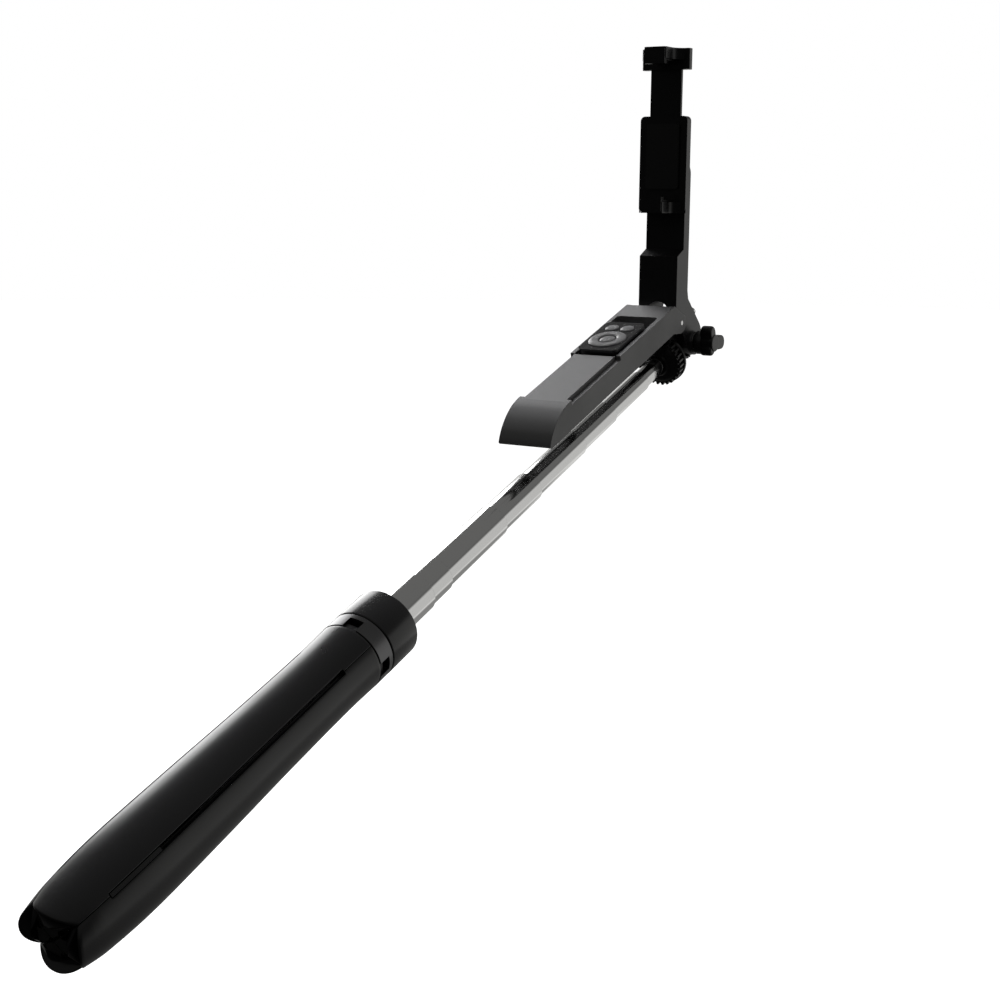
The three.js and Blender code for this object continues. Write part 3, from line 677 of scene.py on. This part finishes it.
def make_arm():
    half, front, back, step = ARM["half"], ARM["front"], ARM["back"], ARM["step"]
    y, z = HINGE.y, HINGE.z
    ear = smooth([
        (22, z - 2.4), (27, z - 5.8), (33.5, z - 6.8), (38.6, z - 4.2), (40.6, z + 1.2), (39, z + 8.2),
        (34, z + 13.3),
    ], 5)
    side = [(front, -65.5), (front, -96), (12.5, -103), *ear, (back + 1.2, -88.5), (back, -84)]
    side += [(back, ARM["ledge"]), (step, ARM["ledge"])]
    lower = prism(side, "x", -half, half)
    front_face = [*arc(0, SWIVEL.z, half, 0, 180, 32), (-half, -70), (half, -70)]
    upper = prism(swapped(front_face), "y", step, back)
    gap = ARM["slot"]
    arch = [*arc(0, ARM["arch"], gap, 0, 180, 24), (-gap, -130), (gap, -130)]
    slot = prism(swapped(arch), "y", 0, 50)
    axle = rod(BOLT_BORE, -15, 15, "x", (y, z), 48)
    boss = rod(SWIVEL_BORE, 10, 25, "y", (SWIVEL.z, 0), 48)
    piece("fork_arm", "arm", cut(union(lower, upper), slot, axle, boss), CLAMP, 0.9, 4)


make_arm()

# ---- lever knob --------------------------------------------------------------
KNOB_LOBES = ((0, 14.4, 4), (108, 9.8, 3.3), (-118, 7.4, 3))  # (direction, length, tip's radius)
KNOB_CORE = 4.8
KNOB_EDGE = (
    (16, 1.3), (16.15, 0.7), (16.5, 0.25), (17.2, 0), (21.4, 0), (22.2, 0.25), (22.6, 0.8), (22.8, 1.6),
)  # (x, inset)
KNOB_POINTS = 144
KNOB_BORE = 2.55


def knob_radius(degrees):
    """How far the three-lobed outline reaches in one direction."""
    a = math.radians(degrees)
    reach = KNOB_CORE
    for direction, length, tip in KNOB_LOBES:
        b = a - math.radians(direction)
        along, across = math.cos(b), abs(math.sin(b))
        if along <= 0:
            continue
        centre = length - tip
        root = tip**2 - (centre * across) ** 2
        if root >= 0:
            reach = max(reach, centre * along + math.sqrt(root))
        elif across > 0:
            reach = max(reach, min(tip / across, centre / along))
    return reach


def knob_outline():
    """The outline's radius all round, evened out so that lobe and core meet softly."""
    raw = np.array([knob_radius(360 * i / KNOB_POINTS) for i in range(KNOB_POINTS)])
    weights = np.array([1, 3, 5, 3, 1]) / 13
    return sum(w * np.roll(raw, k - 2) for k, w in enumerate(weights))


def make_knob():
    lo, hi = span("lever_knob", CLAMP)
    centre = (HINGE.y, HINGE.z)
    outline = knob_outline()
    rings = []
    for x, inset in KNOB_EDGE:
        ring = []
        for i, r in enumerate(outline):
            a = 2 * math.pi * i / KNOB_POINTS
            y, z = (r - inset) * math.cos(a), (r - inset) * math.sin(a)
            ring.append((x, HINGE.y + y, HINGE.z + z))
        rings.append(ring)
    neck_profile = [(5.8, lo.x), (6.4, lo.x + 0.6), (6.4, 14.8), (5.6, 16.5)]
    neck = turned(neck_profile, "x", centre, hollow=False)
    cap_profile = [(4.8, 15), (4.8, hi.x - 0.7), (4.5, hi.x - 0.2), (3.9, hi.x)]
    cap = turned(cap_profile, "x", centre, hollow=False)
    hole = rod(KNOB_BORE, lo.x - 1, 17, "x", centre, 48)
    piece("lever_knob", "knob", cut(union(loft(rings), neck, cap), hole), CLAMP, 0.15, 2)


make_knob()

# ---- phone clamp -------------------------------------------------------------
HOUSING = span("clamp_housing", CLAMP)
SLIDER = span("jaw_slider", CLAMP)
PHONE_HALF = 35.75
WIDE = HOUSING[1].x
HOUSING_TOP = 8
BLADE = {"half": 8.9, "near": 10.4, "far": 12.1, "low": -16, "room": 0.3, "slot_low": -30}
JAW = {"half": 6.5, "front": -5, "hook": -1.6, "lip": 1.6, "plate": 8.9, "back": 13.6, "pad": 1.1}


def jaw_prism(low, high):
    """A jaw between two heights: narrow tongue in front, swept out to the clamp's full width."""
    sweep = WIDE - JAW["half"]
    foot = JAW["plate"] + 0.6
    right = [
        *arc(JAW["half"] - 2, JAW["front"] + 2, 2, -90, 0, 8),
        *arc(WIDE, JAW["plate"] - sweep + 0.6, sweep, 180, 95, 12),
        (WIDE, foot),
        (WIDE, JAW["back"] - 1),
    ]
    return prism(mirrored(right), "z", low, high)


def blade_block(room, low, high):
    """The upper jaw's flat stem, or with room round it the slot that it slides in."""
    half = BLADE["half"] + room
    return block(-half, half, BLADE["near"] - room, BLADE["far"] + room, low, high)


def hook_block(low, high):
    """The lip in front of the phone's edge."""
    half = JAW["half"] - 0.6
    return block(-half, half, JAW["front"] + 0.2, JAW["hook"], low, high)


def make_clamp():
    low, top = HOUSING[0].z, HOUSING_TOP
    floor, ceiling = -PHONE_HALF - JAW["pad"], PHONE_HALF + JAW["pad"]
    plate_outline = rounded(-WIDE, WIDE, low, top, 2.5)
    plate = prism(swapped(plate_outline), "y", JAW["plate"], JAW["back"])
    hook = hook_block(low + 1, -PHONE_HALF + JAW["lip"])
    boss = rod(4, JAW["back"] - 0.6, 18.9, "y", (SWIVEL.z, 0), 48)
    slot = blade_block(BLADE["room"], BLADE["slot_low"], top + 1)
    housing = cut(union(plate, jaw_prism(low, floor), hook, boss), slot)
    piece("clamp_housing", "clamp", housing, CLAMP, 0.5)
    crest = SLIDER[1].z
    blade = blade_block(0, BLADE["low"], ceiling - 2)
    bridge_outline = rounded(-WIDE, WIDE, JAW["plate"], JAW["back"], 1.2)
    bridge = prism(bridge_outline, "z", ceiling - 5, crest)
    catch = hook_block(PHONE_HALF - JAW["lip"], ceiling + 4.8)
    slider = union(blade, bridge, jaw_prism(ceiling, crest), catch)
    piece("jaw_slider", "jaw", slider, CLAMP, 0.5)


make_clamp()

# ---- hinged cover ------------------------------------------------------------
COVER = span("cover_shell", STICK)
COVER_HALF = COVER[1].x
COVER_TOP = 34
COVER_END = 378.6
COVER_SKIN = 1.4
TRAY = {"half": 11.9, "t0": 311, "t1": 362.6, "floor": 27}
RAIL = {"t0": 258.6, "t1": 312, "inset": 2.8, "drop": 2.2}


def cover_outline():
    """Side view of the cover, from the top of its nose round to the top of its head end."""
    nose = COVER[0].y
    curve = smooth([
        (256.5, COVER_TOP), (250, 33.1), (243.5, 30.6), (238, 27), (234.6, 23.6), (nose, 21.3),
    ], 8)
    underside = [(nose + 0.5, 20.4), (nose + 1.5, 20), (374, 20), (377.5, 18.6), (382, 17)]
    ear = arc(LIFT.y, LIFT.z, 5, -90, 30, 16)
    return [*curve, *underside, *ear, (COVER_END, COVER_TOP)]


def make_cover():
    inner = COVER_HALF - COVER_SKIN
    under = COVER_TOP - COVER_SKIN - 0.2
    hollow = [
        (COVER[0].y + 5, 10), (400, 10), (400, 24), (COVER_END - 1.6, under),
        (257.5, under), (248, 30.2), (241.5, 26.6), (238, 22),
    ]
    shell = cut(prism(cover_outline(), "x", -COVER_HALF, COVER_HALF), prism(hollow, "x", -inner, inner))
    half, t0, t1, floor = TRAY["half"], TRAY["t0"], TRAY["t1"], TRAY["floor"]
    tray = prism(rounded(-half, half, t0, t1, 2), "h", floor, COVER_TOP + 2)
    side = inner + 0.3
    walls = block(-side, side, t0 - COVER_SKIN, t1 + COVER_SKIN, floor - COVER_SKIN, COVER_TOP - 0.5)
    t0, t1 = RAIL["t0"], RAIL["t1"]
    stiff = block(-side, side, t0 + 4, t1 - 2, COVER_TOP - 5, COVER_TOP - 1)
    rails = []
    for way in (-1, 1):
        x0, x1 = sorted((way * (COVER_HALF + 1), way * (COVER_HALF - RAIL["inset"])))
        rails.append(block(x0, x1, t0, t1, COVER_TOP - RAIL["drop"], COVER_TOP + 1))
    pin = rod(PIN_BORE["cover"], -16, 16, "x", (LIFT.y, LIFT.z), 48)
    room = ARM["half"] + 0.6
    fork = block(-room, room, COVER_END - 0.4, 400, 10, 40)
    body = cut(union(shell, walls, stiff), tray, *rails, pin, fork)
    piece("cover_shell", "cover", body, STICK, 0.6)


make_cover()

# ---- remote ------------------------------------------------------------------
KEYS = {"key_left": 0.0, "key_right": 0.0, "key_ring": 4.6, "key_centre": 0.0}  # radius of the hole
KEY_ROOM = 0.25
KEY_CROWN = 0.9
REMOTE_SHELL = {"skin": 1.2, "roof": 1.6}


def round_key(node):
    """Centre and radius of a key, and its lowest and highest points."""
    lo, hi = span(node, STICK)
    return ((lo.x + hi.x) / 2, (lo.y + hi.y) / 2), (hi.x - lo.x) / 2, lo.z, hi.z


def make_remote():
    (_, t0, base), (half, t1, top) = span("remote_body", STICK)
    skin = REMOTE_SHELL["skin"]
    outer = prism(rounded(-half, half, t0, t1, 3, 8), "h", base, top)
    room = rounded(-half + skin, half - skin, t0 + skin, t1 - skin, 2)
    inner = prism(room, "h", base - 1, top - REMOTE_SHELL["roof"])
    wells = []
    for node in ("key_left", "key_right", "key_ring"):
        centre, radius, _, _ = round_key(node)
        wells.append(rod(radius + KEY_ROOM, top - 3, top + 1, "h", centre))
    piece("remote_body", "remote", cut(outer, inner, *wells), STICK, 0.7, 4)


def make_key(node, hole):
    """A domed round key, or a round-edged ring where there is a hole."""
    centre, radius, low, high = round_key(node)
    edge = high - KEY_CROWN
    width = (radius - hole) / 2 if hole else radius
    last = math.pi if hole else math.pi / 2 - 0.03
    crown = [
        (radius - width + width * math.cos(a), edge + KEY_CROWN * math.sin(a))
        for a in np.linspace(0, last, 17 if hole else 12)
    ]
    profile = [(radius, low), *crown]
    if hole:
        profile.append((hole, low))
    piece(node, node, turned(profile, "h", centre, hollow=bool(hole)), STICK, 0)


make_remote()
for key, key_hole in KEYS.items():
    make_key(key, key_hole)


# ---- carried-over CAD nodes --------------------------------------------------
CAD_BEVEL = 0.12


def dress_cad_nodes():
    """Every CAD node that still shows gets its finish, round edges and smooth shading."""
    for name, obj in frame["nodes"].items():
        if obj.hide_render:
            continue
        obj.data.materials.clear()
        obj.data.materials.append(LOOKS[slot_of(name)])
        refine(obj, CAD_BEVEL, 2)


dress_cad_nodes()


# ---- studio ------------------------------------------------------------------
ROOM_STEPS = {  # over the direction's height or its depth: from, to, value before, value after
    "band_top": (0.22, 0.38, 1.0, 0.0),
    "band_foot": (-0.36, -0.28, 0.0, 1.0),
    "behind": (0.0, 0.5, 0.0, 1.0),
    "roof": (0.1, 0.5, 0.018, 0.14),
    "low_glow": (-0.85, -0.35, 0.1, 0.24),
    "low_top": (-0.3, -0.24, 1.0, 0.0),
}
BAND_STRENGTH = 0.56
ROOM_COLOUR = (1.0, 0.995, 0.97, 1)
WHITE = (1, 1, 1, 1)
CENTRE = (CAD_BOX[0] + CAD_BOX[1]) / 2
FLOOR = {"radius": 9000, "thickness": 1, "drop": 0.3}  # drop, in metres, is below the object
FLOOR_GLOW = (0.2, 0.6, 0.94, 1.05)  # over the distance from under the object's middle, in metres


def smooth_step(tree, socket, low, high, start, end):
    """Socket that gives start up to low, end from high on, and a soft rise between them."""
    node = tree.nodes.new("ShaderNodeMapRange")
    node.interpolation_type = "SMOOTHSTEP"
    for name, value in (("From Min", low), ("From Max", high), ("To Min", start), ("To Max", end)):
        node.inputs[name].default_value = value
    tree.links.new(socket, node.inputs["Value"])
    return node.outputs["Result"]


def combine(tree, operation, a, b):
    """Socket that adds or multiplies a and b, each a socket or a plain number."""
    node = tree.nodes.new("ShaderNodeMath")
    node.operation = operation
    for socket, value in zip(node.inputs, (a, b)):
        if isinstance(value, float):
            socket.default_value = value
        else:
            tree.links.new(value, socket)
    return node.outputs[0]


def room_strength(tree):
    """A dim roof, a bright low band behind the object, and a weaker glow beneath the band."""
    place = tree.nodes.new("ShaderNodeTexCoord")
    split = tree.nodes.new("ShaderNodeSeparateXYZ")
    link(tree, place, "Generated", split, "Vector")
    step = {}
    for name, row in ROOM_STEPS.items():
        step[name] = smooth_step(tree, split.outputs["Y" if name == "behind" else "Z"], *row)
    band = combine(tree, "MULTIPLY", step["band_top"], step["band_foot"])
    band = combine(tree, "MULTIPLY", band, step["behind"])
    low = combine(tree, "MULTIPLY", step["low_glow"], step["low_top"])
    low = combine(tree, "MULTIPLY", low, step["behind"])
    glow = combine(tree, "ADD", combine(tree, "MULTIPLY", band, BAND_STRENGTH), low)
    return combine(tree, "ADD", step["roof"], glow)


def make_world():
    """White to the camera, and a dim room to the surfaces that it lights."""
    world = bpy.data.worlds.new("studio")
    world.use_nodes = True
    tree = world.node_tree
    tree.nodes.clear()
    out = tree.nodes.new("ShaderNodeOutputWorld")
    mix = tree.nodes.new("ShaderNodeMixShader")
    path = tree.nodes.new("ShaderNodeLightPath")
    white = tree.nodes.new("ShaderNodeBackground")
    white.inputs["Color"].default_value = WHITE
    room = tree.nodes.new("ShaderNodeBackground")
    room.inputs["Color"].default_value = ROOM_COLOUR
    tree.links.new(room_strength(tree), room.inputs["Strength"])
    link(tree, path, "Is Camera Ray", mix, "Fac")
    tree.links.new(room.outputs[0], mix.inputs[1])
    tree.links.new(white.outputs[0], mix.inputs[2])
    tree.links.new(mix.outputs[0], out.inputs["Surface"])
    bpy.context.scene.world = world


def softbox(name, azimuth, elevation, distance, width, height, power, mirrored_by_gloss=True):
    """Area light that faces the object's middle; azimuth turns from +Y towards +X."""
    a, e = math.radians(azimuth), math.radians(elevation)
    away = Vector((math.sin(a) * math.cos(e), math.cos(a) * math.cos(e), math.sin(e)))
    data = bpy.data.lights.new(name, "AREA")
    data.shape = "RECTANGLE"
    data.size = width
    data.size_y = height
    data.energy = power
    obj = bpy.data.objects.new(name, data)
    obj.location = CENTRE + away * distance
    obj.rotation_mode = "QUATERNION"
    obj.rotation_quaternion = away.to_track_quat("Z", "Y")
    obj.visible_camera = False
    obj.visible_glossy = mirrored_by_gloss
    bpy.context.scene.collection.objects.link(obj)


def floor_material():
    """A matt grey that glows almost white, a little less under the object."""
    material = bpy.data.materials.new("pale_floor")
    material.use_nodes = True
    tree = material.node_tree
    shader = tree.nodes["Principled BSDF"]
    shader.inputs["Base Color"].default_value = (0.3, 0.3, 0.3, 1)
    shader.inputs["Roughness"].default_value = 0.9
    shader.inputs["Specular IOR Level"].default_value = 0.0
    shader.inputs["Emission Color"].default_value = WHITE
    place = tree.nodes.new("ShaderNodeTexCoord")
    distance = tree.nodes.new("ShaderNodeVectorMath")
    distance.operation = "DISTANCE"
    distance.inputs[1].default_value = (0, CENTRE.y, 0)
    link(tree, place, "Object", distance, 0)
    glow = smooth_step(tree, distance.outputs["Value"], *FLOOR_GLOW)
    tree.links.new(glow, shader.inputs["Emission Strength"])
    return material


def make_floor():
    mesh = rod(FLOOR["radius"], -FLOOR["thickness"], 0, "h", n=128)
    below = Matrix.Translation((0, 0, CAD_BOX[0].z - FLOOR["drop"]))
    mesh.transform(below @ Matrix.Scale(MM, 4))
    floor = linked(mesh, "floor")
    floor.data.materials.append(floor_material())
    floor.visible_glossy = False
    floor.visible_diffuse = False


make_world()
softbox("left_softbox", azimuth=-54, elevation=17, distance=1.6, width=0.8, height=1.1, power=10)
softbox(
    "top_softbox", azimuth=-38, elevation=48, distance=1.5, width=0.6, height=0.6, power=32,
    mirrored_by_gloss=False,
)
make_floor()
bpy.context.scene.view_settings.view_transform = "Standard"
